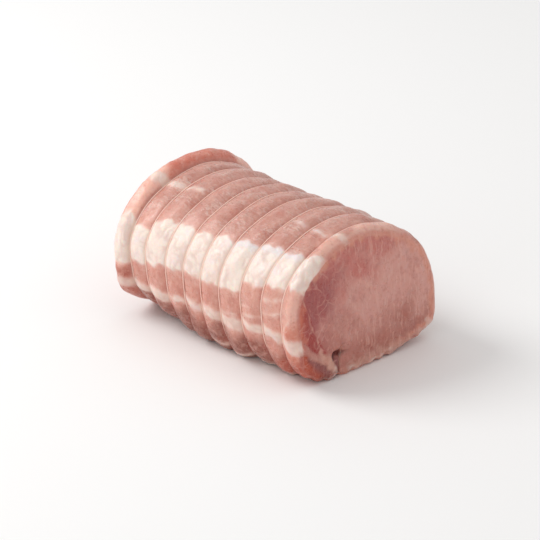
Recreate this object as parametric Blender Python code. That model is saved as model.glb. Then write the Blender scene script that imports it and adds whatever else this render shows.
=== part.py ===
"""A raw pork loin roast: boned, rolled with its flap tucked under, and tied with nine elastic loops.

The roast lies along X. The freshly cut face is towards +X, and the side that shows the fat is
towards -Y. The origin is the middle of the base, on the surface that the roast lies on. Sizes
below are in millimetres, and every outline is worked out from them.
"""
import bmesh
import bpy
import numpy as np

MM = 0.001

# The line that the ties follow round the meat: half an ellipse above the waist, and a squarer
# half below it, where the meat settles. Its underside is level at the height of the bed.
HALF_WIDTH = 59.2
TOP = 87.9
WAIST = 41.6
SAG = -1.4
LEAN = 7.3
UPPER_ROUNDNESS = 1.96
LOWER_ROUNDNESS = 3.25
BED = 1.7
BED_SOFTNESS = 0.8
CORE_HEIGHT = 46.0

# The roast is not the same all along. Each row is the way that the skin faces (0 degrees is
# towards +Y, 90 is up), how many degrees it spreads, and how far out the skin moves at places
# along the length.
FRONT_FOOT = ((-82, -7.5), (-65, -5.0), (-46, -2.0), (-27, 1.6), (-8, 4.0), (11, 3.8), (30, 1.6), (82, 1.0))
BACK_SHOULDER = ((-82, 0.0), (-68, -0.8), (-54, -2.0), (0, -2.5), (40, -1.8), (64, -2.4), (82, -3.0))
FRONT_SHOULDER = ((-82, -1.6), (-45, 0.0), (82, 0.0))
BACK_SIDE = ((-82, 0.0), (20, -0.3), (82, -1.2))
CUT_END_FOOT = ((-82, 0.0), (58, 0.0), (82, -6.5))
SETTLING = (
    (-122.0, 38.0, FRONT_FOOT),
    (57.0, 42.0, BACK_SHOULDER),
    (150.0, 35.0, FRONT_SHOULDER),
    (0.0, 40.0, BACK_SIDE),
    (-75.0, 30.0, CUT_END_FOOT),
)

# Along the length.
FAR_END = -82.0
TIE_PLACES = (-69.9, -55.1, -36.4, -20.3, -4.8, 11.4, 29.7, 47.5, 64.3)
CUT_FACE = 78.6
CUT_LEAN_ACROSS = 0.041
CUT_LEAN_UP = -0.083
CROWN = 1.6

# The meat swells between the ties, a little unevenly, and is pinched to a groove under each.
GROOVE_FLOOR = -1.3
SWELL = 2.3
SWELL_SQUARENESS = 3.2
SWELL_UNEVENNESS = (1.0, 0.92, 1.1, 0.95, 0.9, 1.0, 1.1, 1.03, 0.98, 1.0)
LUMP_HEIGHT = 0.45
LUMPS_AROUND = 5
LUMP_LENGTH = 37.0
NEAR_RIM_RADIUS = 5.0
FAR_RIM_RADIUS = 3.0
FAR_FLARE = 3.2

# The seam of the roll runs along the underside, where the flap's edge meets the eye of the loin.
SEAM_ACROSS = -28.0
SEAM_WIDTH_TO_FLAP = 2.4
SEAM_WIDTH_TO_EYE = 4.2
SEAM_DEPTHS = ((-82, 12.0), (-70, 5.0), (64, 5.0), (79, 17.0))

TIE_RADIUS = 0.5

# How finely the solids are faceted.
AROUND = 56
FINE_AROUND = 1440
SEAM_CROWDING = 2.4
SEAM_CROWDING_WIDTH = 10.0
LOBE_STEPS = (0.0, 0.1, 0.27, 0.5, 0.73, 0.9)
END_STEPS = (0.12, 0.35, 0.65)
RIM_DEGREES = (0, 30, 60, 90)
FACE_STEPS = (0.9, 0.68, 0.36)

LEAN_MEAT = ("#CF9A8D", 0.42)
TIE_ELASTIC = ("#E2B7A8", 0.35)


def clear_scene():
    for obj in list(bpy.data.objects):
        bpy.data.objects.remove(obj, do_unlink=True)


def linear(hex_colour):
    """The linear colour of an sRGB hex value."""
    channels = [int(hex_colour[i:i + 2], 16) / 255 for i in (1, 3, 5)]
    return [c / 12.92 if c <= 0.04045 else ((c + 0.055) / 1.055) ** 2.4 for c in channels]


def make_material(name, look):
    hex_colour, roughness = look
    material = bpy.data.materials.new(name)
    material.use_nodes = True
    shader = material.node_tree.nodes["Principled BSDF"]
    shader.inputs["Base Color"].default_value = (*linear(hex_colour), 1.0)
    shader.inputs["Roughness"].default_value = roughness
    shader.inputs["Metallic"].default_value = 0.0
    return material


def eased(x, stations):
    """A smooth curve through (place, value) stations that never overshoots them, read at x."""
    places, values = np.array(stations, dtype=float).T
    rises = np.diff(values) / np.diff(places)
    same_way = rises[1:] * rises[:-1] > 0.0
    sums = np.where(same_way, rises[1:] + rises[:-1], 1.0)
    slopes = np.concatenate([[0.0], np.where(same_way, 2.0 * rises[1:] * rises[:-1] / sums, 0.0), [0.0]])
    x = float(np.clip(x, places[0], places[-1]))
    i = min(int(np.searchsorted(places, x, side="right")), len(places) - 1) - 1
    span = places[i + 1] - places[i]
    t = (x - places[i]) / span
    start = (1 + 2 * t) * (1 - t) ** 2 * values[i] + t * (1 - t) ** 2 * span * slopes[i]
    end = t * t * (3 - 2 * t) * values[i + 1] + t * t * (t - 1) * span * slopes[i + 1]
    return start + end


def plain_outline():
    """The plain half-and-half oval as many (y, z) points, counter-clockwise seen from +X."""
    angle = np.linspace(0.0, 2.0 * np.pi, FINE_AROUND, endpoint=False)
    across, up = np.cos(angle), np.sin(angle)
    above = up >= 0.0
    power = 2.0 / np.where(above, UPPER_ROUNDNESS, LOWER_ROUNDNESS)
    reach = np.where(above, TOP - WAIST, WAIST - SAG)
    y = HALF_WIDTH * np.sign(across) * np.abs(across) ** power
    z = WAIST + reach * np.sign(up) * np.abs(up) ** power
    z -= LEAN * (y / HALF_WIDTH) * (1.0 - np.abs(up) ** power)
    return np.stack([y, z], axis=1)


class Roast:
    """The outline of the roast at any place along its length, as AROUND points from its seam."""

    def __init__(self):
        fine = plain_outline()
        is_high = fine[:, 1] > WAIST / 2
        start = np.argmin(np.abs(fine[:, 0] - SEAM_ACROSS) + is_high * HALF_WIDTH)
        fine = np.roll(fine, -start, axis=0)
        closed = np.vstack([fine, fine[:1]])
        walked = np.concatenate([[0.0], np.cumsum(np.linalg.norm(np.diff(closed, axis=0), axis=1))])
        length = walked[-1]
        from_seam = np.minimum(walked, length - walked)
        crowd = 1.0 + SEAM_CROWDING * np.exp(-((from_seam / SEAM_CROWDING_WIDTH) ** 2))
        share = np.concatenate([[0.0], np.cumsum(0.5 * (crowd[1:] + crowd[:-1]) * np.diff(walked))])
        wanted = np.interp(np.arange(AROUND) / AROUND * share[-1], share, walked)
        self.points = np.stack([np.interp(wanted, walked, closed[:, i]) for i in (0, 1)], axis=1)
        tangents = np.roll(self.points, -1, axis=0) - np.roll(self.points, 1, axis=0)
        normals = np.stack([tangents[:, 1], -tangents[:, 0]], axis=1)
        self.normals = normals / np.linalg.norm(normals, axis=1)[:, None]
        self.facing = np.degrees(np.arctan2(self.normals[:, 1], self.normals[:, 0]))
        self.turn = 2.0 * np.pi * wanted / length
        to_eye, to_flap = wanted / SEAM_WIDTH_TO_EYE, (length - wanted) / SEAM_WIDTH_TO_FLAP
        self.seam = np.exp(-(np.minimum(to_eye, to_flap) ** 2))

    def tie_line(self, x):
        """Where a tie lies at x: the plain outline, settled, and level above the board."""
        out = np.zeros(AROUND)
        for facing, spread, stations in SETTLING:
            apart = (self.facing - facing + 180.0) % 360.0 - 180.0
            out += eased(x, stations) * np.exp(-((apart / spread) ** 2))
        line = self.points + self.normals * out[:, None]
        over = line[:, 1] - BED
        line[:, 1] = BED + 0.5 * (over + np.sqrt(over * over + BED_SOFTNESS * BED_SOFTNESS))
        return line

    def skin(self, x, lift, lumpiness=0.0):
        """The meat's outline at x, lifted off the tie line, flat on the board, creased at the seam."""
        lumps = LUMP_HEIGHT * np.sin(LUMPS_AROUND * self.turn + 2.0 * np.pi * x / LUMP_LENGTH)
        ring = self.tie_line(x) + self.normals * (lift + lumps * lumpiness)[:, None]
        ring[:, 1] = np.maximum(ring[:, 1], 0.0)
        inward = np.array([0.0, CORE_HEIGHT]) - ring
        inward /= np.linalg.norm(inward, axis=1)[:, None]
        return ring + inward * (eased(x, SEAM_DEPTHS) * self.seam)[:, None]


def dome(ring):
    """How far an end face bulges: most in its middle, and nothing at its rim."""
    across = ring[:, 0] / HALF_WIDTH
    up = (ring[:, 1] - CORE_HEIGHT) / (TOP - CORE_HEIGHT)
    return CROWN * np.maximum(0.0, 1.0 - across * across - up * up)


def far_face_shift(ring):
    return -dome(ring)


def cut_face_shift(ring):
    """How far the freshly cut face stands forward at each point, because it leans back and bulges."""
    return CUT_LEAN_ACROSS * ring[:, 0] + CUT_LEAN_UP * (ring[:, 1] - WAIST) + dome(ring)


def placed(x, ring):
    return np.column_stack([np.broadcast_to(x, len(ring)), ring])


def face_rings(rim, face_x, shift):
    """Rings across an end face, from its rim in, and the point in its middle."""
    core = np.array([0.0, CORE_HEIGHT])
    shrunk = [core + (rim - core) * share for share in (*FACE_STEPS, 0.0)]
    rings = [placed(face_x + shift(ring), ring) for ring in shrunk]
    return rings[:-1], rings[-1][0]


def far_end_rings(roast):
    """From the first tie out to the flared far rim, over its edge, and onto the far face."""
    flared = SWELL * SWELL_UNEVENNESS[0] + FAR_FLARE
    rim_start = FAR_END + FAR_RIM_RADIUS
    rings = []
    for share in END_STEPS:
        x = TIE_PLACES[0] + (rim_start - TIE_PLACES[0]) * share
        rise = 1.0 - (1.0 - share) ** SWELL_SQUARENESS
        rings.append(placed(x, roast.skin(x, GROOVE_FLOOR + (flared - GROOVE_FLOOR) * rise, rise)))
    for degrees in RIM_DEGREES:
        turn = np.radians(degrees)
        x = rim_start - FAR_RIM_RADIUS * np.sin(turn)
        rim = roast.skin(x, flared - FAR_RIM_RADIUS * (1.0 - np.cos(turn)), 1.0)
        rings.append(placed(x + far_face_shift(rim), rim))
    face, middle = face_rings(rim, FAR_END, far_face_shift)
    return rings + face, middle


def lobe_rings(roast):
    """The groove under each tie, and the swelling between it and the next."""
    rings = []
    for index, (tie, next_tie) in enumerate(zip(TIE_PLACES, TIE_PLACES[1:])):
        swell = SWELL * SWELL_UNEVENNESS[index + 1]
        for share in LOBE_STEPS:
            x = tie + (next_tie - tie) * share
            rise = 1.0 - abs(2.0 * share - 1.0) ** SWELL_SQUARENESS
            rings.append(placed(x, roast.skin(x, GROOVE_FLOOR + (swell - GROOVE_FLOOR) * rise, rise)))
    rings.append(placed(TIE_PLACES[-1], roast.skin(TIE_PLACES[-1], GROOVE_FLOOR)))
    return rings


def near_end_rings(roast):
    """From the last tie out to the near rim, over its edge, and onto the leaning cut face."""
    swell = SWELL * SWELL_UNEVENNESS[-1]
    reach = CUT_FACE - NEAR_RIM_RADIUS - TIE_PLACES[-1]
    rings = []
    for share in END_STEPS:
        x = TIE_PLACES[-1] + reach * share
        rise = 1.0 - (1.0 - share) ** SWELL_SQUARENESS
        ring = roast.skin(x, GROOVE_FLOOR + (swell - GROOVE_FLOOR) * rise, rise)
        rings.append(placed(x + cut_face_shift(ring) * share, ring))
    for degrees in RIM_DEGREES:
        turn = np.radians(degrees)
        x = CUT_FACE - NEAR_RIM_RADIUS * (1.0 - np.sin(turn))
        rim = roast.skin(x, swell - NEAR_RIM_RADIUS * (1.0 - np.cos(turn)), 1.0)
        rings.append(placed(x + cut_face_shift(rim), rim))
    face, middle = face_rings(rim, CUT_FACE, cut_face_shift)
    return rings + face, middle


def skin_mesh(name, rings, far_middle, near_middle):
    """A closed mesh over the rings, with a fan of faces at each end."""
    bm = bmesh.new()
    loops = [[bm.verts.new(point * MM) for point in ring] for ring in rings]
    for first, second in zip(loops, loops[1:]):
        for i in range(AROUND):
            j = (i + 1) % AROUND
            bm.faces.new((first[i], first[j], second[j], second[i]))
    for loop, middle in ((loops[0], far_middle), (loops[-1], near_middle)):
        tip = bm.verts.new(middle * MM)
        for i in range(AROUND):
            bm.faces.new((loop[i], loop[(i + 1) % AROUND], tip))
    bmesh.ops.recalc_face_normals(bm, faces=bm.faces)
    mesh = bpy.data.meshes.new(name)
    bm.to_mesh(mesh)
    bm.free()
    mesh.shade_smooth()
    return mesh


def add_object(name, data, material):
    data.materials.append(material)
    obj = bpy.data.objects.new(name, data)
    bpy.context.scene.collection.objects.link(obj)
    return obj


def add_loin(roast, material):
    far, far_middle = far_end_rings(roast)
    near, near_middle = near_end_rings(roast)
    rings = far[::-1] + lobe_rings(roast) + near
    return add_object("loin", skin_mesh("loin", rings, far_middle, near_middle), material)


def add_tie(roast, number, x, material):
    """One elastic loop, drawn tight round the roast and straight across its seam."""
    name = f"tie_{number}"
    curve = bpy.data.curves.new(name, "CURVE")
    curve.dimensions = "3D"
    curve.bevel_depth = TIE_RADIUS * MM
    curve.bevel_resolution = 1
    spline = curve.splines.new("POLY")
    spline.points.add(AROUND - 1)
    for point, (y, z) in zip(spline.points, roast.tie_line(x)):
        point.co = (x * MM, y * MM, z * MM, 1.0)
    spline.use_cyclic_u = True
    return add_object(name, curve, material)


def stand_over_origin(pieces, whole):
    """Moves the pieces together, so that the middle of the whole one's box is over the origin."""
    corners = np.array([vertex.co for vertex in whole.data.vertices])
    middle = 0.5 * (corners.min(axis=0) + corners.max(axis=0))
    for piece in pieces:
        piece.location = (-middle[0], -middle[1], 0.0)


clear_scene()
outline = Roast()
loin = add_loin(outline, make_material("lean_meat", LEAN_MEAT))
tie_material = make_material("tie_elastic", TIE_ELASTIC)
ties = [add_tie(outline, number, x, tie_material) for number, x in enumerate(TIE_PLACES, start=1)]
stand_over_origin([loin, *ties], loin)
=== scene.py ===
# A raw, rolled and tied pork loin: the finish of the meat and of its elastic ties.
# Shapes are worked out in millimetres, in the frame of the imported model, and written in metres.
import bpy
import numpy as np
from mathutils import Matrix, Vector


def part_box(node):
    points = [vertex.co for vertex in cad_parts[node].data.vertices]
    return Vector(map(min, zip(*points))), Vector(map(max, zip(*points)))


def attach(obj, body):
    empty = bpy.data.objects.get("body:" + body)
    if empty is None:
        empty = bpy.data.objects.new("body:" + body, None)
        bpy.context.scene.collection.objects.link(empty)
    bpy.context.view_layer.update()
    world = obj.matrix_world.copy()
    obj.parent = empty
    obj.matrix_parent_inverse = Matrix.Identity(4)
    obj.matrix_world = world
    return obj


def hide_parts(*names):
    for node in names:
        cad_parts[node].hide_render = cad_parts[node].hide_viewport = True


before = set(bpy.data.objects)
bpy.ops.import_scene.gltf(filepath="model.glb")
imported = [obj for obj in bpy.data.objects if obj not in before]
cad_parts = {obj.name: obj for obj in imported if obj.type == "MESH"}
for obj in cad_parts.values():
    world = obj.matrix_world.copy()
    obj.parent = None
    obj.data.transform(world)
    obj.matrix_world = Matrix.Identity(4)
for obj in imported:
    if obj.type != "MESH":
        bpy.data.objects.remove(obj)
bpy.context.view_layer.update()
scene = bpy.context.scene
mm = 0.001

# The roast's outline and lobes, as the part has them, and how finely the skin is drawn.
loin = {
    "halfWidth": 59.2, "top": 87.9, "waist": 41.6, "sag": -1.4, "lean": 7.3,
    "upperRoundness": 1.96, "lowerRoundness": 3.25, "bed": 1.7, "bedSoftness": 0.8, "outlineSteps": 1440,
    "coreAcross": -22.0, "coreHeight": 46.0,  # the place that an end face's rings draw in to
    "farEnd": -82.0, "cutFace": 78.6, "leanAcross": 0.041, "leanUp": -0.083, "crown": 1.6,
    # the groove's floor off the tie line, by mm down from the crown: shallow in fat, deep at the foot
    "grooveFloor": ((-182, -0.6), (-140, -0.9), (-105, -0.4), (30, -0.1), (54, 1.3), (78, 1.3), (90, 0.2),
                    (102, -0.5), (118, -1.5), (150, -0.8)),
    "swell": 2.4, "squareness": 2.3, "endSquareness": 3.2, "farFlare": 3.2,
    "unevenness": (1.0, 0.92, 1.1, 0.95, 0.9, 1.0, 1.1, 1.03, 0.98, 1.0),
    "lumpHeight": 0.45, "lumpsAround": 5, "lumpLength": 37.0,
    "nearRim": 5.0, "farRim": 3.0,
    # the seam: its place and reach to each side, the depth of its shoulder, where on the way in from 0 to
    # 1 the shoulder ends and the wall starts, the gap between its walls, and its depth along the roast
    "seamAcross": -28.0, "seamToFlap": 4.0, "seamToEye": 5.0, "seamShoulder": 1.4, "shoulderEnds": 0.32,
    "wallStarts": 0.3, "seamGap": 0.4, "seamNarrows": 0.3,
    "seamDepths": ((-82, 12.0), (-70, 5.0), (64, 5.0), (79, 17.0)),
    "columns": 320, "seamCrowding": 5.0, "seamCrowdingWidth": 5.0,
    "rowGap": 0.7, "rowCrowding": 0.07, "farRimRows": 7, "nearRimRows": 12,
    "farFaceRows": 22, "nearFaceRows": 48, "faceRowCrowding": 1.15,
    "rollHeight": 0.22, "rollSize": 13.0, "dimpleHeight": 0.07, "dimpleSize": 4.0,
    "fatStep": 0.3, "cushionHeight": 0.32, "cushionSize": 6.2, "rimRagged": 0.7, "rimRaggedSize": 7.0,
    # how far the cut's colour reaches past the far and the near face's edge and along the skin's ends,
    # how far in it starts at the near face's left, and how wide the painted shade along a tie's groove is
    "farCutReach": 1.5, "nearCutReach": 1.6, "endCutReach": 1.2, "cutInset": 1.5, "tieGrooveShadeReach": 1.5,
    # waves on the end faces, as height, size and seed
    "faceWaves": ((0.32, 16, 21), (0.16, 5, 22)),
    # what stands up from the end faces or sinks in: its line in the pattern, its height, and the depths
    # inside the line where it starts and is full
    "faceForms": (("membrane", -0.5, -1.6, 0.4), ("seamFat", 0.7, -2.0, 1.0), ("overHook", 2.0, -3.0, 2.0),
                  ("underHook", 1.2, -4.0, 2.0), ("hook", -2.4, -2.6, 1.4)),
}
tiePlaces = np.array((-69.9, -55.1, -36.4, -20.3, -4.8, 11.4, 29.7, 47.5, 64.3))

# Where the skin moves out or in along the length: the way it faces, its spread, and the stations.
settling = (
    (-122.0, 38.0, ((-82, -7.5), (-65, -5.0), (-46, -2.0), (-27, 1.6), (-8, 4.0), (11, 3.8), (30, 1.6),
                    (82, 1.0))),
    (57.0, 42.0, ((-82, 0.0), (-68, -0.8), (-54, -2.0), (0, -2.5), (40, -1.8), (64, -2.4), (82, -3.0))),
    (150.0, 35.0, ((-82, -1.6), (-45, 0.0), (82, 0.0))),
    (0.0, 40.0, ((-82, 0.0), (20, -0.3), (82, -1.2))),
    (-75.0, 30.0, ((-82, 0.0), (58, 0.0), (82, -6.5))),
)


def smoothStep(low, high, value):
    # 0 below low, 1 above high, and an S-curve between
    t = np.clip((value - low) / (high - low), 0.0, 1.0)
    return t * t * (3.0 - 2.0 * t)


def eased(x, stations):
    # cubic pieces through the stations, with the harmonic mean of the slopes, so nothing overshoots
    places, values = np.array(stations, float).T
    rises = np.diff(values) / np.diff(places)
    sameWay = rises[1:] * rises[:-1] > 0
    sums = np.where(sameWay, rises[1:] + rises[:-1], 1.0)
    slopes = np.concatenate([[0.0], np.where(sameWay, 2 * rises[1:] * rises[:-1] / sums, 0.0), [0.0]])
    x = np.clip(x, places[0], places[-1])
    i = np.clip(np.searchsorted(places, x, side="right") - 1, 0, len(places) - 2)
    span = places[i + 1] - places[i]
    t = (x - places[i]) / span
    start = (1 + 2 * t) * (1 - t) ** 2 * values[i] + t * (1 - t) ** 2 * span * slopes[i]
    return start + t * t * (3 - 2 * t) * values[i + 1] + t * t * (t - 1) * span * slopes[i + 1]


def waves(points, size, seed, count=26):
    # the sum of cosines that run in seeded random directions, with wavelengths near size; its RMS is 1
    draw = np.random.default_rng(seed)
    ways = draw.normal(size=(count, 3))
    ways /= np.linalg.norm(ways, axis=1, keepdims=True)
    ways *= 2 * np.pi / size * draw.uniform(0.75, 1.25, (count, 1))
    phases = draw.uniform(0, 2 * np.pi, count)
    return sum(np.cos(points @ way + phase) for way, phase in zip(ways, phases)) * np.sqrt(2 / count)


def cushions(points, size, seed):
    # 0 on the seams between rounded cells about size across, and 1 inside them: how much farther the
    # second nearest of some random points is than the nearest, with one random point to a cube
    repeat = 16
    draw = np.random.default_rng(seed).uniform(0.1, 0.9, (repeat, repeat, repeat, 3))
    scaled = points / size
    home = np.floor(scaled).astype(int)
    nearest = np.full(points.shape[:-1], 9.0)
    second = nearest.copy()
    for step in np.ndindex(3, 3, 3):
        cube = home + np.array(step) - 1
        i, j, k = np.moveaxis(cube % repeat, -1, 0)
        away = np.linalg.norm(cube + draw[i, j, k] - scaled, axis=-1)
        second = np.minimum(second, np.maximum(nearest, away))
        nearest = np.minimum(nearest, away)
    return smoothStep(0.0, 0.45, second - nearest)


def insideLine(points, line):
    # how deep each (y, z) point is inside a line of straight stretches, given as (y, z, half thickness)
    line = np.array(line, float)
    deepest = np.full(points.shape[:-1], -1e9)
    for start, end in zip(line[:-1], line[1:]):
        a, way = start[:2], end[:2] - start[:2]
        along = np.clip(((points - a) @ way) / (way @ way), 0, 1)
        half = start[2] + along * (end[2] - start[2])
        deepest = np.maximum(deepest, half - np.linalg.norm(points - a - along[..., None] * way, axis=-1))
    return deepest


class Outline:
    # The tie line round the roast, as columns that start at the seam and run under the back first. Its two
    # halves are superellipses, |across / half width| ^ n + |up / height| ^ n = 1, and it leans to one side.
    def __init__(self, columns):
        p = loin
        angle = np.linspace(0, 2 * np.pi, p["outlineSteps"], endpoint=False)
        across, up = np.cos(angle), np.sin(angle)
        power = 2 / np.where(up >= 0, p["upperRoundness"], p["lowerRoundness"])
        reach = np.where(up >= 0, p["top"] - p["waist"], p["waist"] - p["sag"])
        y = p["halfWidth"] * np.sign(across) * np.abs(across) ** power
        z = p["waist"] + reach * np.sign(up) * np.abs(up) ** power
        z -= p["lean"] * y / p["halfWidth"] * (1 - np.abs(up) ** power)
        fine = np.stack([y, z], 1)
        start = np.argmin(np.abs(y - p["seamAcross"]) + (z > p["waist"] / 2) * p["halfWidth"])
        fine = np.roll(fine, -start, 0)
        closed = np.vstack([fine, fine[:1]])
        walked = np.append(0, np.cumsum(np.linalg.norm(np.diff(closed, axis=0), axis=1)))
        self.length = walked[-1]
        fromSeam = np.minimum(walked, self.length - walked)
        crowd = 1 + p["seamCrowding"] * np.exp(-(fromSeam / p["seamCrowdingWidth"]) ** 2)
        share = np.append(0, np.cumsum(0.5 * (crowd[1:] + crowd[:-1]) * np.diff(walked)))
        self.walked = np.interp(np.arange(columns) / columns * share[-1], share, walked)
        self.points = np.stack([np.interp(self.walked, walked, closed[:, i]) for i in (0, 1)], 1)
        # a normal is square to the line from 2 mm behind a column to 2 mm ahead of it
        ahead, behind = (np.stack([np.interp((self.walked + step) % self.length, walked, closed[:, i])
                                   for i in (0, 1)], 1) for step in (2, -2))
        tangents = ahead - behind
        normals = np.stack([tangents[:, 1], -tangents[:, 0]], 1)
        self.normals = normals / np.linalg.norm(normals, axis=1, keepdims=True)
        self.facing = np.degrees(np.arctan2(self.normals[:, 1], self.normals[:, 0]))
        self.turn = 2 * np.pi * self.walked / self.length
        # the eye's side of the seam is +1 and the flap's -1; how near the seam each column is, 1 at it
        self.side = np.where(self.walked < self.length / 2, 1, -1)
        fromEye, fromFlap = self.walked / p["seamToEye"], (self.length - self.walked) / p["seamToFlap"]
        self.seam = np.clip(1 - np.minimum(fromEye, fromFlap), 0, 1)
        # the crown is the highest place, or of nearly level ones the one nearest to 2 mm across
        crownAt = walked[np.argmax(closed[:, 1] - 0.02 * np.abs(closed[:, 0] - 2))]
        self.down = self.walked - crownAt  # mm from the crown: above 0 on the fat side, below 0 on the back

    def tieLine(self, x):
        # (rows, columns, 2) places: the plain outline, moved out by each settling row, at the height bed +
        # (over + sqrt(over ^ 2 + softness ^ 2)) / 2 with over the height above the bed, so level below
        x = np.atleast_1d(x)
        out = np.zeros((len(x), len(self.points)))
        for facing, spread, stations in settling:
            apart = (self.facing - facing + 180) % 360 - 180
            out += np.outer(eased(x, stations), np.exp(-(apart / spread) ** 2))
        line = self.points + self.normals * out[..., None]
        over = line[..., 1] - loin["bed"]
        line[..., 1] = loin["bed"] + 0.5 * (over + np.sqrt(over * over + loin["bedSoftness"] ** 2))
        return line


outline = Outline(loin["columns"])

# The part stands over the origin, so its ties say how far the outline here has to move.
tieLow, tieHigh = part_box("tie_5")
lineAtTie = outline.tieLine(tiePlaces[4])[0]
shift = np.array([
    (tieLow.x + tieHigh.x) / 2 / mm - tiePlaces[4],
    (tieLow.y + tieHigh.y) / 2 / mm - (lineAtTie[:, 0].min() + lineAtTie[:, 0].max()) / 2,
    0.0,
])
print("frame loaded, outline moved by", shift.round(3), "mm")


def linear(hexColour):
    # an sRGB hex colour as linear red, green and blue
    c = np.array([int(hexColour[i:i + 2], 16) for i in (1, 3, 5)]) / 255
    return np.where(c <= 0.04045, c / 12.92, ((c + 0.055) / 1.055) ** 2.4)


def addNode(tree, kind, feeds=(), output=0, **settings):
    # one node and its settings; feeds go to its sockets in turn, or by name or place where they are a
    # dictionary, as links, numbers or hex colours; returns the output that is asked for
    node = tree.nodes.new("ShaderNode" + kind)
    for name, value in settings.items():
        setattr(node, name, value)
    for key, feed in feeds.items() if isinstance(feeds, dict) else enumerate(feeds):
        if isinstance(feed, bpy.types.NodeSocket):
            tree.links.new(feed, node.inputs[key])
        else:
            node.inputs[key].default_value = (*linear(feed), 1) if isinstance(feed, str) else feed
    return node.outputs[output]


def newMaterial(name):
    material = bpy.data.materials.new(name)
    material.use_nodes = True
    return material, material.node_tree, material.node_tree.nodes["Principled BSDF"]


def gridMesh(name, points, poles, attributes, uv):
    # closed quads over (rows, columns, 3) points in mm, a fan to each pole, an attribute value per point,
    # and a UV map in metres
    rows, columns = points.shape[:2]
    index = np.arange(rows * columns).reshape(rows, columns)
    nextColumn = np.roll(index, -1, 1)
    quads = np.stack([index[:-1], nextColumn[:-1], nextColumn[1:], index[1:]], -1).reshape(-1, 4)
    first = np.stack([nextColumn[0], index[0], np.full(columns, rows * columns)], -1)
    last = np.stack([index[-1], nextColumn[-1], np.full(columns, rows * columns + 1)], -1)
    vertices = np.concatenate([points.reshape(-1, 3), poles]) * mm
    mesh = bpy.data.meshes.new(name)
    mesh.vertices.add(len(vertices))
    mesh.vertices.foreach_set("co", vertices.ravel())
    loops = np.concatenate([quads.ravel(), first.ravel(), last.ravel()])
    sizes = np.concatenate([np.full(len(quads), 4), np.full(2 * columns, 3)])
    mesh.loops.add(len(loops))
    mesh.loops.foreach_set("vertex_index", loops)
    mesh.polygons.add(len(sizes))
    mesh.polygons.foreach_set("loop_start", np.append(0, np.cumsum(sizes)[:-1]))
    mesh.update(calc_edges=True)
    mesh.validate()
    mesh.shade_smooth()
    for key, values in attributes.items():
        kind = "FLOAT_COLOR" if values.ndim == 3 else "FLOAT"
        flat = values.reshape(rows * columns, -1)
        ends = np.stack([flat[:columns].mean(0), flat[-columns:].mean(0)])
        flat = np.concatenate([flat, ends])
        if kind == "FLOAT_COLOR":
            flat = np.column_stack([flat, np.ones(len(flat))])
        layer = mesh.attributes.new(key, kind, "POINT").data
        layer.foreach_set("color" if kind == "FLOAT_COLOR" else "value", flat.astype(np.float32).ravel())
    uvFlat = np.concatenate([uv.reshape(-1, 2), uv[0].mean(0)[None], uv[-1].mean(0)[None]])[loops]
    # the last column of quads runs on round the roast rather than back to the start
    lastColumn = np.tile(np.repeat(np.arange(columns) == columns - 1, 4), rows - 1)
    lastColumn = np.append(lastColumn, np.zeros(6 * columns, bool))
    uvFlat[lastColumn & (loops % columns == 0), 0] += outline.length * mm
    mesh.uv_layers.new(name="grain").data.foreach_set("uv", uvFlat.astype(np.float32).ravel())
    return mesh


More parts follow.
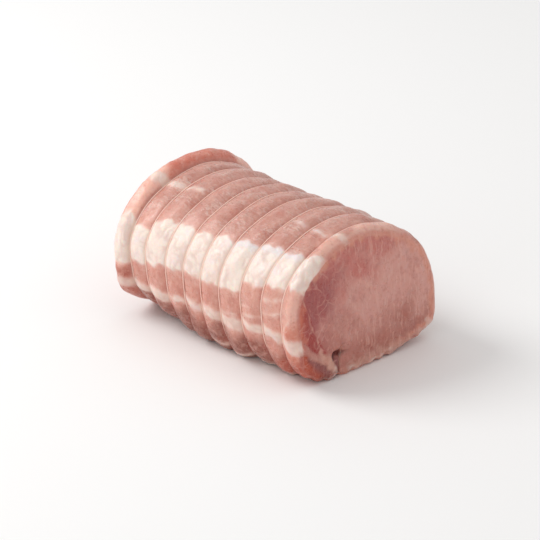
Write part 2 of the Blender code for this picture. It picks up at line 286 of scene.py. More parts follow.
# Where the fat lies: how far down from the crown, in mm, in each of the ten lobes, at the lobe's far side
# and at its near side.
pattern = {
    "bandTop": ((60.5, 61), (64, 64), (58.5, 52.5), (53.5, 53.5), (53.5, 53.5), (51.5, 51), (49, 47.5),
                (45.5, 44.5), (44.5, 44), (45.5, 37)),
    "bandCrown": 2.0,
    "bandFoot": ((88.3, 88), (86, 84.5), (82.5, 80.5), (80, 78), (78, 77.5), (78, 77.5), (77.5, 76),
                 (69.5, 68.5), (66, 65), (61, 64)),
    "strip": ((102, 102), (101, 103), (100, 102), (99, 99), (95, 99), (95.5, 98.5), (98, 99), (94, 95.5),
              (93.5, 95.5), (94.5, 100.5)),
    "stripHalf": (3.0, 2.8, 3.4, 1.2, 2.2, 2.8, 3.6, 2.4, 2.8, 3.9),
    "patch": ((30, 30), (28.5, 27), (27, 24)), "patchHalf": (3.4, 2.4, 1.2), "patchesEnd": -41.0,
    "backStrip": -112.0, "backStripHalf": 2.6,
    "edgeWander": 0.7, "edgeWanderSize": 8.0,
    # pale streaks, as x from and to, mm down from the crown at each end, and half thickness
    "streaks": ((36, 44, 20, 21, 0.6), (50, 61, 20.5, 21.5, 0.7), (66, 77, 19, 18, 1.9),
                (50, 56, 74, 73.5, 0.1), (56, 63, 73.5, 71, 0.2), (49, 58, 83, 81.5, 0.0),
                (58, 63, 81.5, 79, 0.2), (31, 38, 84, 82, -0.1), (33, 46, 88.5, 87, -0.1),
                (68, 74, 88, 82, 0.1), (12, 25, 93, 92, -0.2), (14, 26, 121, 124, 1.2),
                (-3, 9, 116, 120, 0.6), (32, 43, 126, 128, 1.2), (50, 60, 124, 128, 0.8)),
    # on the cut face, as (across, up, half thickness) points
    "membrane": ((-54, 62, 0.0), (-50.5, 50, 0.2), (-48, 40, 0.4), (-44.5, 33, 0.4), (-42.5, 27, 0.4),
                 (-39.5, 21, 0.5)),
    "ring": ((-43.5, 31, 0.1), (-38.5, 39, 0.2), (-31, 36, 0.2), (-30.5, 30, 0.2), (-36, 21.5, 0.3)),
    "seamFat": ((-69, 39, 4.8), (-62, 34, 4.2), (-56.5, 29.3, 2.8), (-51, 24.2, 1.8), (-46.6, 20, 1.8),
                (-42, 17, 2.2), (-36, 14.4, 2.4)),
    "knot": ((-40.5, 20, 0.8), (-37, 16, 2.8), (-33.5, 12, 3.2), (-31, 8, 1.8)),
    "hook": ((-30.6, 14.2, 0.5), (-30, 16.4, 1.5), (-26.5, 16.4, 1.0), (-22, 16.2, -0.3),
             (-17, 15.6, -1.8)),
    "flapTip": ((-44, 1.5, 0.6), (-36, 1.0, 1.2), (-31, 3, 1.6), (-29.5, 8, 0.8)),
    "overHook": ((-26, 23, 0.8), (-19, 23.5, 1.2)), "underHook": ((-21, 11, 1.0), (-8, 10, 1.0)),
    "foot": ((-22, 3, 1.5), (17, 1.5, 2.0), (41, 3, 2.0), (51, 12, 3.2)),
}


def perLobe(name, x):
    # a value that runs straight from each lobe's far side to its near side, and steps at the ties
    lobe = np.searchsorted(tiePlaces, x)
    edges = np.concatenate([[loin["farEnd"]], tiePlaces, [loin["cutFace"] + 4]])
    share = (x - edges[lobe]) / (edges[lobe + 1] - edges[lobe])
    table = np.array(pattern[name], float)
    lobe = np.minimum(lobe, len(table) - 1)
    if table.ndim == 1:
        return table[lobe]
    return table[lobe, 0] * (1 - share) + table[lobe, 1] * share


faceCore = np.array([loin["coreAcross"], loin["coreHeight"]])


def tuckSeam(ring, depth):
    # at the seam the skin turns over a soft shoulder and runs up two close walls, whose gap narrows faster
    # than lines drawn to the face's middle do, so that the face's rings don't fold over it
    p = loin
    mouth = ring[:, :1]
    reach = np.linalg.norm(faceCore - mouth, axis=-1, keepdims=True)
    up = (faceCore - mouth) / reach
    out = np.stack([up[..., 1], -up[..., 0]], -1) * outline.side[:, None]
    shoulder = smoothStep(0.0, p["shoulderEnds"], outline.seam)
    wall = np.clip((outline.seam - p["wallStarts"]) / (1 - p["wallStarts"]), 0, 1)
    goes = (p["seamShoulder"] * shoulder + (depth - p["seamShoulder"]) * wall)[..., None]
    closing = (1 - p["seamNarrows"] * wall) * np.sqrt(1 - wall ** 6)
    gap = p["seamGap"] * (1 - goes / reach) * closing[:, None]
    blend = shoulder[:, None]
    return ring * (1 - blend) + (mouth + out * gap) * blend + up * goes


def skinRows():
    # four values for each row along the skin: x; its lift, which between two ties is the swelling *
    # (1 - |2 t - 1| ^ squareness) with t the share of the way, and is a quarter circle at the rims; how
    # free of the ties the meat is; and how far the row leans with the cut face
    p = loin
    swells = p["swell"] * np.array(p["unevenness"])
    rows = []

    def addRows(*values):
        rows.append(np.stack(values))

    flared = swells[0] + p["farFlare"]
    rimStart = p["farEnd"] + p["farRim"]
    turn = np.linspace(np.pi / 2, 0, p["farRimRows"], endpoint=False)
    addRows(rimStart - p["farRim"] * np.sin(turn), flared - p["farRim"] * (1 - np.cos(turn)),
            turn * 0 + 1, turn * 0)
    count = round((tiePlaces[0] - rimStart) / p["rowGap"])
    share = np.linspace(1, 0, count, endpoint=False)
    grown = 1 - (1 - share) ** p["endSquareness"]
    addRows(tiePlaces[0] + (rimStart - tiePlaces[0]) * share, flared * grown, grown, share * 0)
    for place, nextPlace, swell in zip(tiePlaces, tiePlaces[1:], swells[1:]):
        count = round((nextPlace - place) / p["rowGap"])
        share = np.arange(count) / count
        share = share - p["rowCrowding"] * np.sin(2 * np.pi * share)
        grown = 1 - np.abs(2 * share - 1) ** p["squareness"]
        addRows(place + (nextPlace - place) * share, swell * grown, grown, share * 0)
    reach = p["cutFace"] - p["nearRim"] - tiePlaces[-1]
    share = np.linspace(0, 1, round(reach / p["rowGap"]), endpoint=False)
    grown = 1 - (1 - share) ** p["endSquareness"]
    addRows(tiePlaces[-1] + reach * share, swells[-1] * grown, grown, share)
    turn = np.linspace(0, np.pi / 2, p["nearRimRows"])
    addRows(p["cutFace"] - p["nearRim"] * (1 - np.sin(turn)),
            swells[-1] - p["nearRim"] * (1 - np.cos(turn)), turn * 0 + 1, turn * 0 + 1)
    return np.concatenate(rows, axis=1)


def fatOnSkin(skinAt, rise):
    # how deep inside fat each point of the skin is, in mm, below 0 outside it: the deepest of the band,
    # the strip, the patches, the strip at the back and the streaks, each its half width less the distance
    # from its middle, with an edge that wanders; with it go the masks of thin fat, of painted sheen on the
    # fat's upper edge and of painted shade along the grooves at the ties
    x = skinAt[..., 0]
    down = np.broadcast_to(outline.down, x.shape)
    wander = pattern["edgeWander"] * waves(skinAt, pattern["edgeWanderSize"], 11)
    bandTop = perLobe("bandTop", x) - pattern["bandCrown"] * np.sqrt(np.maximum(rise, 0))[:, None]
    band = np.minimum(down - bandTop, perLobe("bandFoot", x) - down) + wander
    strip = perLobe("stripHalf", x) - np.abs(down - perLobe("strip", x)) + 0.7 * wander
    patch = perLobe("patchHalf", x) - np.abs(down - perLobe("patch", x)) + 0.6 * wander
    patch = np.minimum(patch, pattern["patchesEnd"] - x + 2 * wander)
    backStrip = pattern["backStripHalf"] - np.abs(down - pattern["backStrip"]) + 1.6 * wander
    fat = np.maximum.reduce([band, strip, patch, backStrip])
    for start, end, startDown, endDown, half in pattern["streaks"]:
        share = np.clip((x - start) / (end - start), 0, 1)
        lineDown = startDown + share * (endDown - startDown)
        away = np.hypot(x - start - share * (end - start), down - lineDown)
        fat = np.maximum(fat, half - away + 0.3 * wander)
    return {
        "skinFat": fat,
        "thin": smoothStep(1.0, -1.0, band),
        # painted sheen: a bluish-white tint on the fat band's upper edge in the middle lobes, as the sky's
        # reflection
        "paintedSheen": smoothStep(9, 1, down - bandTop) * smoothStep(2, 14, x) * smoothStep(66, 60, x),
        # painted shade along the grooves at the ties
        "tieGrooveShade": np.exp(-(np.abs(x[..., None] - tiePlaces).min(-1) / loin["tieGrooveShadeReach"]) ** 2),
    }


def skinRelief(skinAt, fat):
    # low relief in mm, as the sum of slow lumps round the roast, broad rolls, small dimples, a ragged foot
    # of the near rim, and fat that stands a little proud in soft cushions; with it the cushions' seams
    p = loin
    x = skinAt[..., 0]
    lumps = p["lumpHeight"] * np.sin(p["lumpsAround"] * outline.turn + 2 * np.pi * x / p["lumpLength"])
    fatty = smoothStep(-0.6, 1.2, fat)
    relief = lumps + p["rollHeight"] * waves(skinAt, p["rollSize"], 3)
    relief += p["dimpleHeight"] * waves(skinAt, p["dimpleSize"], 4)
    ragged = smoothStep(66, 76, x) * smoothStep(112, 126, np.abs(outline.down))
    relief += p["rimRagged"] * ragged * waves(skinAt, p["rimRaggedSize"], 6)
    cushion = cushions(skinAt + 0.8 * waves(skinAt, 9, 7)[..., None], p["cushionSize"], 5)
    relief += fatty * (p["fatStep"] + p["cushionHeight"] * cushion)
    return relief, (1 - cushion) * np.clip(0.7 + 0.4 * waves(skinAt, 12, 8), 0, 1)


def dome(ring):
    # crown * (1 - (across / half width) ^ 2 - (up / height) ^ 2), so an end face bulges by the crown in its
    # middle, and by nothing at its rim
    up = (ring[..., 1] - loin["coreHeight"]) / (loin["top"] - loin["coreHeight"])
    return loin["crown"] * np.maximum(0, 1 - (ring[..., 0] / loin["halfWidth"]) ** 2 - up ** 2)


def cutShift(ring):
    # how far along the roast the leaning near face is at each place: a plane plus the dome
    plane = loin["leanAcross"] * ring[..., 0] + loin["leanUp"] * (ring[..., 1] - loin["waist"])
    return plane + dome(ring)


def faceRows(rim, count, faceX, side):
    # an end face is its rim drawn in to the face's core, on the dome, with waves and forms on it; side is
    # 1 for the near face and -1 for the far one
    share = 1 - ((np.arange(count) + 1) / (count + 0.5)) ** loin["faceRowCrowding"]
    flat = faceCore + (rim - faceCore) * share[:, None, None]
    at = np.concatenate([np.full(flat.shape[:2] + (1,), faceX), flat], -1)
    relief = sum(height * waves(at, size, seed) for height, size, seed in loin["faceWaves"])
    relief *= smoothStep(1, 0.9, share)[:, None]
    inner = smoothStep(1, 0.95, share)[:, None]
    for name, height, starts, full in loin["faceForms"]:
        relief += height * smoothStep(starts, full, insideLine(flat, pattern[name])) * inner
    shifted = cutShift(flat) if side > 0 else -dome(flat)
    return np.concatenate([(faceX + shifted + side * relief)[..., None], flat], -1)


def makeLoin():
    # the skin is the tie line, moved out by its lift, by the groove's floor near the ties, and by low
    # relief where the ties leave it free; an end face closes each end
    p = loin
    x, lift, rise, lean = skinRows()
    tieLine = outline.tieLine(x)
    xAll = np.broadcast_to(x[:, None], tieLine.shape[:2])
    skinAt = np.concatenate([xAll[..., None], tieLine], -1)
    onSkin = fatOnSkin(skinAt, rise)
    relief, onSkin["cushionSeam"] = skinRelief(skinAt, onSkin["skinFat"])
    floor = np.outer(1 - rise, eased(outline.down, p["grooveFloor"]))
    out = lift[:, None] + floor + rise[:, None] * relief
    ring = tieLine + outline.normals * out[..., None]
    ring[..., 1] = np.maximum(ring[..., 1], 0)
    ring = tuckSeam(ring, eased(x, p["seamDepths"])[:, None])
    skin = np.concatenate([(x[:, None] + lean[:, None] * cutShift(ring))[..., None], ring], -1)
    near = faceRows(ring[-1], p["nearFaceRows"], p["cutFace"], 1)
    far = faceRows(ring[0], p["farFaceRows"], p["farEnd"], -1)[::-1]
    points = np.concatenate([far, skin, near])
    poles = np.array([far[0].mean(0), near[-1].mean(0)])

    def overAll(skinValues, farValues=0.0, nearValues=0.0):
        # values for the skin, carried on over the two end faces
        return np.concatenate([np.broadcast_to(farValues, far.shape[:2]), skinValues,
                               np.broadcast_to(nearValues, near.shape[:2])])

    # how far inside a cut face each point is, in mm, below 0 out on the skin; at its left and its top the
    # near cut starts a little way in from the rim
    farCut = np.linalg.norm(far[:, :, 1:] - far[-1][None, :, 1:], axis=-1) + p["farCutReach"]
    nearCut = np.linalg.norm(near[:, :, 1:] - ring[-1][None], axis=-1) + p["nearCutReach"]
    fromEnds = np.maximum(p["farEnd"] + p["endCutReach"] - x, x - p["cutFace"] + p["endCutReach"])
    cut = overAll(np.broadcast_to(fromEnds[:, None], xAll.shape), farCut, nearCut)
    yz = points[..., 1:]
    across, up = yz[..., 0], yz[..., 1]
    inset = np.maximum(smoothStep(-20, -42, across) * smoothStep(14, 30, up), 0.6 * smoothStep(58, 72, up))
    cut = cut - p["cutInset"] * inset * smoothStep(0, 40, points[..., 0])

    # the fat on the end faces, the membrane's lines, and where the fine lines between bundles are
    faceFat = insideLine(yz, pattern["seamFat"]) * smoothStep(-36, -56, across)
    faceFat += 0.4 * waves(points, 5, 31) - 4 * smoothStep(-60, -48, across)
    footFat = 0.5 * insideLine(yz, pattern["foot"]) + 0.7 * waves(points, 6, 35)
    tipFat = 0.7 * insideLine(yz, pattern["flapTip"]) + 0.5 * waves(points, 3.5, 36)
    faceFat = np.maximum(faceFat, np.minimum(np.maximum(footFat, tipFat), 0.5))
    membrane = np.maximum(insideLine(yz, pattern["membrane"]), insideLine(yz, pattern["ring"]))
    membrane += 0.2 * waves(points, 5, 32)
    veins = smoothStep(-8, -26, across + 5 * waves(points, 15, 34)) * 0.9 + 0.1

    downAll = overAll(np.broadcast_to(outline.down, xAll.shape), outline.down, outline.down)
    fat = onSkin.pop("skinFat")
    attributes = {name: overAll(values) for name, values in onSkin.items()}
    attributes.update(skinFat=overAll(fat, fat[0], fat[-1]), faceFat=faceFat, cutFace=cut, veins=veins,
                      membrane=membrane, flesh=fleshColours(points, downAll, cut),
                      film=filmAmount(points, downAll, cut))
    # the grain map: metres round the roast, and metres along it and on over the faces
    along = points[..., 0] + np.sign(points[..., 0]) * np.maximum(cut, 0)
    mesh = gridMesh("loin_meat", points + shift, poles + shift, attributes,
                    np.stack([downAll, along], -1) * mm)
    piece = bpy.data.objects.new("loin_meat", mesh)
    scene.collection.objects.link(piece)
    print("loin_meat:", len(mesh.vertices), "vertices,", 2 * len(mesh.vertices) - 4, "triangles")
    return piece


# The lean's colours by place, before the fat, the film and the marbling: mostly its own tones, but
# painted shade darkens the top, the underside and the near foot, the far end has a painted highlight,
# the far end's top and the cut face's rims have painted glow over their own tone, and the hollow of
# the hook is painted shade.
leanColours = {
    "side": "#D59C8C", "top": "#C2897B", "low": "#CE8E7E", "under": "#8A4637", "farEnd": "#F1BAA8",
    "farTop": "#D47C68", "farFoot": "#B56250", "nearEnd": "#E6B2A2", "nearBack": "#BE6E5B",
    "nearLow": "#D0806B", "nearFoot": "#AC482F", "face": "#D3978B", "faceUpper": "#C3746A",
    "faceLeft": "#A35350", "faceLow": "#AE685A", "faceRim": "#D48C78", "faceTop": "#D8957F",
    "facePink": "#C08275", "faceFoot": "#C58F80", "flap": "#A03E38", "flapOuter": "#C66C56",
    "flapFoot": "#8F504C", "flapDeep": "#823A31", "flapGlow": "#B34E34", "knot": "#D09C8A",
    "seamPink": "#C38A7C", "hookShade": "#57160F",
}


def fleshColours(points, down, cut):
    # each place's colour is laid over the last, by a soft mask worked out from where the point is
    x, y, z = points[..., 0], points[..., 1], points[..., 2]
    yz = points[..., 1:]
    wobble = waves(points, 22, 41)
    ripple = waves(points, 6, 42)
    colour = np.broadcast_to(linear(leanColours["side"]), points.shape).copy()

    def lay(name, mask):
        colour[...] += (linear(leanColours[name]) - colour) * np.clip(mask, 0, 1)[..., None]

    # painted shade: the top is darker than the sides, to offset the lamp overhead
    lay("top", smoothStep(60, 36, down + 3 * wobble) * 0.9)
    lay("low", smoothStep(62, 92, down + 4 * wobble))
    # painted shade: the underside is darker and redder, as the shadow under the roast
    lay("under", smoothStep(98, 114, np.abs(down) + 3 * wobble))
    far = smoothStep(-69.5, -72.0, x)
    # painted highlight on the far end, over its own paler tone; painted glow in the orange of its top
    lay("farEnd", far)
    lay("farTop", far * smoothStep(31, 24, np.abs(down + 6) + 2 * wobble))
    lay("farFoot", far * smoothStep(84, 94, down + 3 * wobble))
    near = smoothStep(60, 70, x + 3 * wobble)
    lay("nearEnd", near * smoothStep(120, 104, np.abs(down)))
    lay("nearBack", near * smoothStep(-20, -50, down))
    # painted shade: at the near end the low side and the foot are darker and redder, as shade under the
    # roast
    lay("nearLow", near * smoothStep(78, 92, down + 3 * wobble))
    lay("nearFoot", smoothStep(42, 62, x + 3 * wobble) * smoothStep(103, 113, down + 2 * wobble))
    face = smoothStep(-1.0, 1.0, cut)
    lay("face", face)
    lay("faceUpper", face * smoothStep(56, 74, z - 0.25 * y + 5 * wobble))
    lay("faceLow", face * smoothStep(44, 14, z + 5 * wobble) * 0.85)
    left = smoothStep(-8, -42, y + 0.1 * (z - 40) + 4 * wobble) * smoothStep(80, 64, z)
    lay("faceLeft", face * left * (1 - 0.6 * smoothStep(48, 34, z) * smoothStep(-48, -40, y)))
    lay("facePink", face * smoothStep(46, 36, z) * smoothStep(-38, -30, y) * smoothStep(-12, -24, y) * 0.5)
    # the cut face's rim is lighter and more orange: its own edge with painted glow of light through it
    rightSide = smoothStep(-10, 40, y)
    rimWidth = 2.5 + 4.5 * rightSide
    atRim = smoothStep(rimWidth, 0.25 * rimWidth, cut + 1.2 * ripple)
    lay("faceRim", face * atRim * (0.4 + 0.5 * rightSide))
    lay("faceTop", face * smoothStep(4.5, 0.0, cut + 0.8 * ripple) * smoothStep(58, 72, z) * 0.7)
    lay("faceFoot", face * smoothStep(13, 4, z + 1.2 * ripple) * smoothStep(-24, -18, y))
    # the flap: left of the membrane, and below the fat of the seam
    membraneY = np.interp(z, (17.5, 22.7, 29.6, 38.7, 50, 61, 66), (-34, -38.6, -42, -46.5, -50, -53, -55))
    seamZ = np.interp(y, (-69, -62, -56.5, -51, -46, -39, -31), (37, 32, 27.5, 23.5, 20, 16.5, 14))
    flap = face * smoothStep(0.6, -0.6, y - membraneY) * smoothStep(62, 50, z)
    flap *= smoothStep(-1, 1, z - seamZ)
    lay("flap", flap)
    # painted glow along the flap's rim, over its own redder edge
    lay("flapOuter", flap * smoothStep(6.0, 0.5, cut + 1.2 * ripple))
    foot = face * smoothStep(1, -1, z - seamZ) * smoothStep(-26, -28, y)
    lay("flapFoot", foot)
    lay("flapDeep", foot * smoothStep(9, 5, z + ripple) * smoothStep(-52, -44, y))
    # painted glow of light through the flap's thin lower edge
    lay("flapGlow", foot * smoothStep(5.5, 0.5, cut + 0.7 * ripple) * smoothStep(-36, -48, y))
    seamPink = insideLine(yz, pattern["seamFat"]) + 0.5 * ripple
    lay("seamPink", face * smoothStep(-1.4, 0.9, seamPink) * smoothStep(-60, -50, y) * 0.85)
    lay("knot", face * smoothStep(-1.5, 1.2, insideLine(yz, pattern["knot"]) + 0.8 * ripple))
    # painted shade: the hollow of the hook beside the seam is a very dark red
    lay("hookShade", face * smoothStep(-1.8, 0.9, insideLine(yz, pattern["hook"])))
    return colour


def filmAmount(points, down, cut):
    # the silvery film over the lean: most on the top and the back, in soft patches, none on cut faces
    patches = 0.6 + 0.25 * waves(points, 19, 51) + 0.2 * waves(points, 7, 52)
    high = smoothStep(68, 34, down) * (0.8 + 0.2 * smoothStep(-20, -70, down))
    away = smoothStep(-71, -66, points[..., 0]) * smoothStep(66, 56, points[..., 0])
    return np.clip(patches, 0, 1) * (0.2 + 0.8 * high * away) * smoothStep(1, -1, cut)


# What is laid over the colours above, in turn: a noise as (size of its blobs in mm, detail) or a mask by
# its name, the value where the layer starts, the value where it is full, how much it covers, its colour.
pork = {
    "lean": (((8, 3), 0.35, 0.7, 0.22, "#E0AC9D"), ((8, 3), 0.5, 0.28, 0.3, "#BC6A5C"),
             ((3.6, 3), 0.5, 0.72, 0.32, "#E8B9AB"), ((3.0, 2), 0.44, 0.26, 0.3, "#B9665A"),
             # the dark red layer along the ties is painted shade in the grooves
             ("fibres", 0.48, 0.75, 0.22, "#EAC0B2"), ("tieGrooveShade", 0, 1, 0.4, "#AB584B"),
             ("film", 0, 1, 0.6, "#E2C4B9"), ("skinFat", -3.2, 0.2, 0.4, "#EBC1B3")),
    "cut": (((6, 3), 0.5, 0.3, 0.3, "#A5584F"), ("streaks", 0, 1, 0.42, "#E2AE9F"),
            ((2.2, 3), 0.55, 0.78, 0.3, "#DDA798"), ("bundle", 0, 1, 0.42, "#CF9488"),
            ("membrane", -0.6, 0.4, 0.55, "#D9A395")),
    "fat": (((11, 2), 0.4, 0.62, 0.8, "#EFDBD2"), ((6, 2), 0.52, 0.74, 0.6, "#F5E6D6"),
            ((8, 2), 0.42, 0.28, 0.6, "#EBDAD8"), ((1.6, 3), 0.5, 0.7, 0.3, "#E3CBC1"),
            # the bluish-white layer is a painted reflection of the sky on the fat's upper edge
            ("cushionSeam", 0.1, 1.0, 0.6, "#DCC0B4"), ("paintedSheen", 0, 1, 0.65, "#E6DDDF"),
            # the tan layer along the ties is painted shade in the grooves
            ("tieGrooveShade", 0, 1, 0.6, "#DAB59F")),
    "fatColour": "#F1DFD3", "thinFatCover": 0.68, "faceFatCover": 0.85,
    "leanRoughness": 0.31, "fatRoughness": 0.4,
    # sizes in mm of what the masks are made of
    "gritSize": 0.8, "fibreSize": 1.2, "wrinkleSize": 2.0, "swirlSize": 25 / 3, "swirlReach": 4.0,
    "bundleSize": 9.0, "bundlePatchSize": 11.0, "streakSize": 1.5, "edgeSize": 3.2, "sheenSize": 2.2,
    # how much each mask lifts the fine bump
    "bump": (("fibres", 0.35), ("grit", 0.3), ("film", 0.8), ("bundle", -0.2)),
    "bumpHeight": 0.5, "bumpStrength": 0.6, "glow": 0.3, "glowReach": 2.6, "glowColours": (1.0, 0.36, 0.22),
}


# Raw pork: muscle under a wet film, and soft back fat. It gives the eye pale pink flesh with light
# glowing a few millimetres into it, creamy fat in soft cushions, and a fine broken sheen.
def rawPork():
    p = pork
    softly = "SMOOTHSTEP"
    material, tree, shader = newMaterial("raw_pork_muscle_and_back_fat")
    place = addNode(tree, "TexCoord", output="Object")
    grain = addNode(tree, "UVMap", uv_map="grain")
    flesh = addNode(tree, "Attribute", output="Color", attribute_name="flesh")
    masks = {}
    for name in ("skinFat", "faceFat", "cutFace", "membrane", "film", "veins", "tieGrooveShade", "thin", "paintedSheen",
                 "cushionSeam"):
        masks[name] = addNode(tree, "Attribute", output="Fac", attribute_name=name)
    masks["grit"] = addNode(tree, "TexNoise", {"Vector": place, "Scale": 1 / (p["gritSize"] * mm)})

    # fibres run round the roast, and the film over them has fine wavy wrinkles that run along it
    ringGrain = addNode(tree, "Mapping", {"Vector": grain, "Scale": (0.5, 1.0, 1.0)})
    masks["fibres"] = addNode(tree, "TexNoise", {"Vector": ringGrain, "Scale": 1 / (p["fibreSize"] * mm),
                                                 "Detail": 3})
    skewed = addNode(tree, "Mapping", {"Vector": grain, "Rotation": (0, 0, 0.3), "Scale": (1.0, 0.4, 1.0)})
    wrinkles = addNode(tree, "TexNoise", {"Vector": skewed, "Scale": 1 / (p["wrinkleSize"] * mm),
                                          "Detail": 2, "Distortion": 1.5})
    wrinkles = addNode(tree, "MapRange", (wrinkles, 0.44, 0.66, 0.12, 1), interpolation_type=softly)
    masks["film"] = addNode(tree, "Math", (masks["film"], wrinkles), operation="MULTIPLY")

    # on the cut face pale streaks run up the muscle, and thin lines part its bundles at the left
    swirl = addNode(tree, "TexNoise", {"Vector": place, "Scale": 1 / (p["swirlSize"] * mm)}, "Color")
    warped = addNode(tree, "Mix", {0: p["swirlReach"] * mm, 4: place, 5: swirl}, 1, data_type="VECTOR")
    cells = addNode(tree, "TexVoronoi", {"Vector": warped, "Scale": 1 / (p["bundleSize"] * mm)},
                    "Distance", feature="DISTANCE_TO_EDGE")
    lines = addNode(tree, "MapRange", (cells, 0.075, 0, 0, 1), interpolation_type=softly)
    here = addNode(tree, "TexNoise", {"Vector": place, "Scale": 1 / (p["bundlePatchSize"] * mm)})
    here = addNode(tree, "MapRange", (here, 0.42, 0.62, 0, 1), interpolation_type=softly)
    lines = addNode(tree, "Math", (lines, here), operation="MULTIPLY")
    masks["bundle"] = addNode(tree, "Math", (lines, masks["veins"]), operation="MULTIPLY")
    upright = addNode(tree, "Mapping", {"Vector": warped, "Scale": (1.0, 1.0, 0.12)})
    streaks = addNode(tree, "TexNoise", {"Vector": upright, "Scale": 1 / (p["streakSize"] * mm),
                                         "Detail": 3})
    streaks = addNode(tree, "MapRange", (streaks, 0.48, 0.68, 0, 1), interpolation_type=softly)
    fade = addNode(tree, "MapRange", (masks["veins"], 0, 1, 1, 0.4))
    masks["streaks"] = addNode(tree, "Math", (streaks, fade), operation="MULTIPLY")

    # the edges of the fat and of the cut wander by up to 0.9 mm
    blobs = addNode(tree, "TexNoise", {"Vector": place, "Scale": 1 / (p["edgeSize"] * mm), "Detail": 4})
    wander = addNode(tree, "MapRange", (blobs, 0.2, 0.8, -0.9, 0.9))
    for name, share in (("skinFat", 0.8), ("faceFat", 1.0), ("cutFace", 0.8)):
        masks[name] = addNode(tree, "Math", (wander, share, masks[name]), operation="MULTIPLY_ADD")

    surface = {}
    for part, colour in (("lean", flesh), ("cut", flesh), ("fat", p["fatColour"])):
        for mask, low, high, cover, over in p[part]:
            if isinstance(mask, tuple):
                size, detail = mask
                amount = addNode(tree, "TexNoise", {"Vector": place, "Scale": 1 / (size * mm),
                                                    "Detail": detail})
            else:
                amount = masks[mask]
            amount = addNode(tree, "MapRange", (amount, low, high, 0, cover), interpolation_type=softly)
            colour = addNode(tree, "Mix", {0: amount, 6: colour, 7: over}, 2, data_type="RGBA")
        surface[part] = colour
    isCut = addNode(tree, "MapRange", (masks["cutFace"], -1.1, 1.3, 0, 1), interpolation_type=softly)
    meat = addNode(tree, "Mix", {0: isCut, 6: surface["lean"], 7: surface["cut"]}, 2, data_type="RGBA")
    outer = addNode(tree, "MapRange", (masks["skinFat"], -1.4, 1.4, 0, 1), interpolation_type=softly)
    cover = addNode(tree, "MapRange", (masks["thin"], 0, 1, 1, p["thinFatCover"]))
    outer = addNode(tree, "Math", (outer, cover), operation="MULTIPLY")
    inner = addNode(tree, "MapRange", (masks["faceFat"], -1.2, 2.6, 0, p["faceFatCover"]),
                    interpolation_type=softly)
    isFat = addNode(tree, "Mix", {0: isCut, 2: outer, 3: inner}, data_type="FLOAT")
    colour = addNode(tree, "Mix", {0: isFat, 6: meat, 7: surface["fat"]}, 2, data_type="RGBA")
    tree.links.new(colour, shader.inputs["Base Color"])

    # the wet surface: fat is duller than lean, and both are uneven
    patches = addNode(tree, "TexNoise", {"Vector": place, "Scale": 1 / (p["sheenSize"] * mm)})
    patches = addNode(tree, "MapRange", (patches, 0.3, 0.7, -0.07, 0.09))
    rough = addNode(tree, "MapRange", (isFat, 0, 1, p["leanRoughness"], p["fatRoughness"]))
    rough = addNode(tree, "Math", (rough, patches), operation="ADD")
    tree.links.new(rough, shader.inputs["Roughness"])
    height = 0.0
    for mask, share in p["bump"]:
        height = addNode(tree, "Math", (masks[mask], share, height), operation="MULTIPLY_ADD")
    bump = addNode(tree, "Bump", {"Height": height, "Strength": p["bumpStrength"],
                                  "Distance": p["bumpHeight"] * mm})
    tree.links.new(bump, shader.inputs["Normal"])
    shader.inputs["IOR"].default_value = 1.45
    shader.inputs["Subsurface Weight"].default_value = p["glow"]
    shader.inputs["Subsurface Radius"].default_value = p["glowColours"]
    shader.inputs["Subsurface Scale"].default_value = p["glowReach"] * mm
    return material


# The elastic ties: thin loops that sink into the meat between the lobes.
tie = {"radius": 0.42, "columns": 420, "sides": 10, "colour": "#F2BFAE", "paleColour": "#FBDCCF",
       "lift": ((-180, 0.34), (-100, 0.34), (38, 0.24), (56, -0.12), (74, -0.12), (88, 0.4),
                (98, 0.3), (110, -0.25), (150, -0.25)),
       "sinkDepth": 0.1, "sinksAround": 9, "offTheFloor": 0.9, "stainSize": 7.0,
       "ribSize": 0.9, "ribHeight": 0.08, "ribStrength": 0.3, "roughness": 0.38,
       "glow": 0.2, "glowReach": 0.8, "glowColours": (1.0, 0.5, 0.35)}


def makeTie(number, place):
    # a circle carried round the tie line at the height of the groove's floor plus a lift of its own, which
    # sinks it in the fat and at the foot, and a slow wave; it spans the seam
    path = Outline(tie["columns"])
    lift = eased(path.down, loin["grooveFloor"]) + eased(path.down, tie["lift"])
    lift += tie["sinkDepth"] * np.sin(tie["sinksAround"] * path.turn + number)
    line = path.tieLine(place)[0] + path.normals * lift[:, None]
    line[:, 1] = np.maximum(line[:, 1], tie["radius"] + tie["offTheFloor"])
    angle = np.linspace(0, 2 * np.pi, tie["sides"], endpoint=False)
    outwards = path.normals[:, None, :] * np.cos(angle)[None, :, None] * tie["radius"]
    x = np.broadcast_to(place + tie["radius"] * np.sin(angle), (tie["columns"], tie["sides"]))
    points = np.concatenate([x[..., None], line[:, None, :] + outwards], -1)
    columns, sides = points.shape[:2]
    index = np.arange(columns * sides).reshape(columns, sides)
    quads = np.stack([index, np.roll(index, -1, 1), np.roll(index, (-1, -1), (0, 1)),
                      np.roll(index, -1, 0)], -1)
    mesh = bpy.data.meshes.new(f"elastic_{number}")
    mesh.from_pydata((points.reshape(-1, 3) + shift) * mm, [], quads.reshape(-1, 4))
    along = np.broadcast_to((path.walked * mm)[:, None], (columns, sides))
    ringGrain = np.broadcast_to((angle * tie["radius"] * mm)[None], (columns, sides))
    uv = np.stack([along, ringGrain], -1).reshape(-1, 2)
    loops = np.zeros(len(mesh.loops), int)
    mesh.loops.foreach_get("vertex_index", loops)
    mesh.uv_layers.new(name="strand").data.foreach_set("uv", uv[loops].astype(np.float32).ravel())
    mesh.shade_smooth()
    piece = bpy.data.objects.new(f"elastic_{number}", mesh)
    scene.collection.objects.link(piece)
    return piece


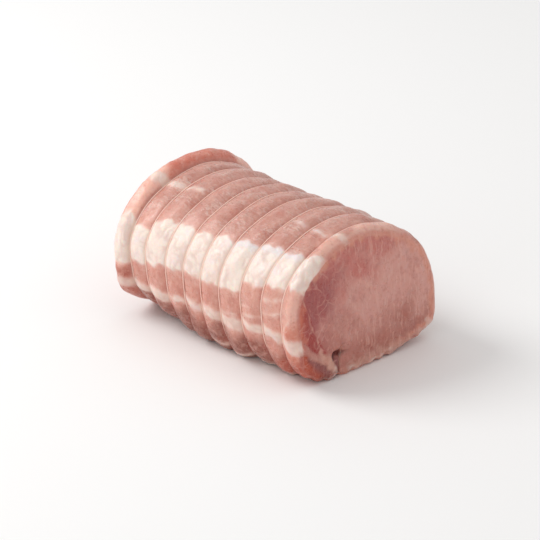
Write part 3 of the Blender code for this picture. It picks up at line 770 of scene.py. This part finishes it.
# Food-grade elastic: a fine natural rubber core under a polyester wrap, stained pink by the meat.
# It gives the eye a thin, faintly ribbed, slightly see-through pale line.
def wrappedElastic():
    material, tree, shader = newMaterial("wrapped_elastic_cord")
    strand = addNode(tree, "UVMap", uv_map="strand")
    place = addNode(tree, "TexCoord", output="Object")
    stain = addNode(tree, "TexNoise", {"Vector": place, "Scale": 1 / (tie["stainSize"] * mm)})
    colour = addNode(tree, "Mix", {0: stain, 6: tie["colour"], 7: tie["paleColour"]}, 2, data_type="RGBA")
    tree.links.new(colour, shader.inputs["Base Color"])
    # a wave's stripes are a twentieth of a metre apart at a scale of 1
    ribs = addNode(tree, "TexWave", {"Vector": strand, "Scale": 1 / (tie["ribSize"] * mm) / 20},
                   bands_direction="DIAGONAL")
    bump = addNode(tree, "Bump", {"Height": ribs, "Strength": tie["ribStrength"],
                                  "Distance": tie["ribHeight"] * mm})
    tree.links.new(bump, shader.inputs["Normal"])
    shader.inputs["Roughness"].default_value = tie["roughness"]
    shader.inputs["Subsurface Weight"].default_value = tie["glow"]
    shader.inputs["Subsurface Radius"].default_value = tie["glowColours"]
    shader.inputs["Subsurface Scale"].default_value = tie["glowReach"] * mm
    return material


# The camera stands where the photograph was taken from, and looks the same way.
camera = {"at": (1099.9, -1100.7, 740.6), "azimuth": 45.13, "elevation": 24.32, "focalPixels": 2737,
          "imagePixels": 540, "sensorWidth": 36, "nearest": 0.05, "farthest": 20}


def makeCamera():
    data = bpy.data.cameras.new("camera")
    data.sensor_width = camera["sensorWidth"]
    data.lens = camera["focalPixels"] / camera["imagePixels"] * data.sensor_width
    data.clip_start, data.clip_end = camera["nearest"], camera["farthest"]
    eye = bpy.data.objects.new("camera", data)
    azimuth, elevation = np.radians(camera["azimuth"]), np.radians(camera["elevation"])
    level = np.cos(elevation)
    back = Vector((np.sin(azimuth) * level, -np.cos(azimuth) * level, np.sin(elevation)))
    eye.location = Vector((np.array(camera["at"]) + shift) * mm)
    eye.rotation_euler = back.to_track_quat("Z", "Y").to_euler()
    scene.collection.objects.link(eye)
    scene.camera = eye


# A plain pale floor, a white room, and one large soft lamp up at the far left.
studio = {"floorColour": "#F7F6F5", "floorRoughness": 0.9, "floorSize": 20.0, "roomStrength": 0.7,
          "lampPower": 13.0, "lampSize": 0.9, "lampAt": (-1.0, -0.62, 1.1),
          "frontPower": 1.2, "frontAt": (0.4, -1.4, 0.7), "aimHeight": 0.04}


def makeStudio():
    size = studio["floorSize"]
    mesh = bpy.data.meshes.new("floor")
    corners = [(-size, -size, 0), (size, -size, 0), (size, size, 0), (-size, size, 0)]
    mesh.from_pydata(corners, [], [(0, 1, 2, 3)])
    floor = bpy.data.objects.new("floor", mesh)
    scene.collection.objects.link(floor)
    material, tree, shader = newMaterial("pale_floor")
    shader.inputs["Base Color"].default_value = (*linear(studio["floorColour"]), 1)
    shader.inputs["Roughness"].default_value = studio["floorRoughness"]
    mesh.materials.append(material)
    world = bpy.data.worlds.new("white_room")
    world.use_nodes = True
    world.node_tree.nodes["Background"].inputs["Color"].default_value = (1, 1, 1, 1)
    world.node_tree.nodes["Background"].inputs["Strength"].default_value = studio["roomStrength"]
    scene.world = world
    for name, at, power in (("lamp", studio["lampAt"], studio["lampPower"]),
                            ("front_lamp", studio["frontAt"], studio["frontPower"])):
        light = bpy.data.lights.new(name, "AREA")
        light.shape = "DISK"
        light.size = studio["lampSize"]
        light.energy = power
        lamp = bpy.data.objects.new(name, light)
        lamp.location = at
        away = Vector(at) - Vector((0, 0, studio["aimHeight"]))
        lamp.rotation_euler = away.to_track_quat("Z", "Y").to_euler()
        scene.collection.objects.link(lamp)
    scene.view_settings.view_transform = "Standard"


meat = makeLoin()
meat.data.materials.append(rawPork())
print("meat finished:", len(meat.data.materials[0].node_tree.nodes), "nodes")
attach(meat, "root")
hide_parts("loin")

elastic = wrappedElastic()
for number, place in enumerate(tiePlaces, start=1):
    loop = makeTie(number, place)
    loop.data.materials.append(elastic)
    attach(loop, "root")
    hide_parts(f"tie_{number}")
print("ties made:", len(tiePlaces))

makeCamera()
makeStudio()
print("camera, floor and lamps set")
